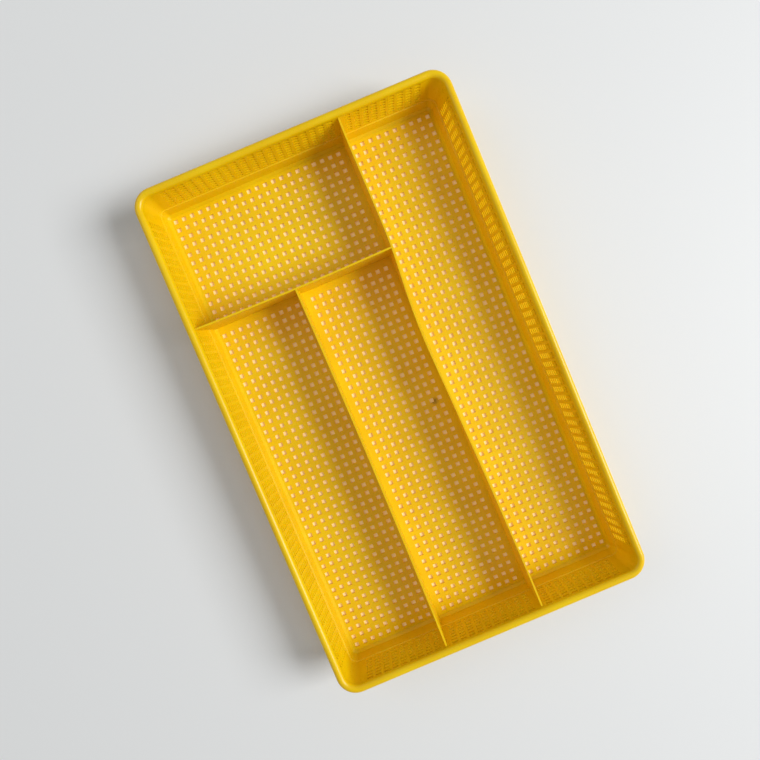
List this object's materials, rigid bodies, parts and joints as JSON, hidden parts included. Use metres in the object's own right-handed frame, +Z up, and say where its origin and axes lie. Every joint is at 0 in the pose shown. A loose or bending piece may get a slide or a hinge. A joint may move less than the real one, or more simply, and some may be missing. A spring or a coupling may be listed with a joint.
{
  "type": "perforated cutlery tray",
  "caption": "Shallow rectangular cutlery tray with a perforated floor, slotted walls, a rolled rim and thin dividers forming lengthwise compartments and a crosswise compartment.",
  "frame": {"origin": "on the table under the middle of the tray", "axes": "+Z up; +Y along the tray towards the crosswise compartment; +X across it towards the full-length compartment"},
  "size_m": [0.214, 0.348, 0.038],
  "materials": {
    "tray_plastic": "smooth glossy moulded polypropylene, warm yellow, faintly translucent"
  },
  "bodies": {
    "root": {"floor_right": "tray_plastic", "floor_back": "tray_plastic", "floor_left": "tray_plastic", "floor_middle": "tray_plastic", "right_wall": "tray_plastic", "back_wall": "tray_plastic", "left_wall": "tray_plastic", "front_wall": "tray_plastic", "back_right_corner": "tray_plastic", "back_left_corner": "tray_plastic", "front_left_corner": "tray_plastic", "front_right_corner": "tray_plastic", "rolled_rim": "tray_plastic", "long_divider": "tray_plastic", "cross_divider": "tray_plastic", "short_divider": "tray_plastic"}
  },
  "joints": []
}
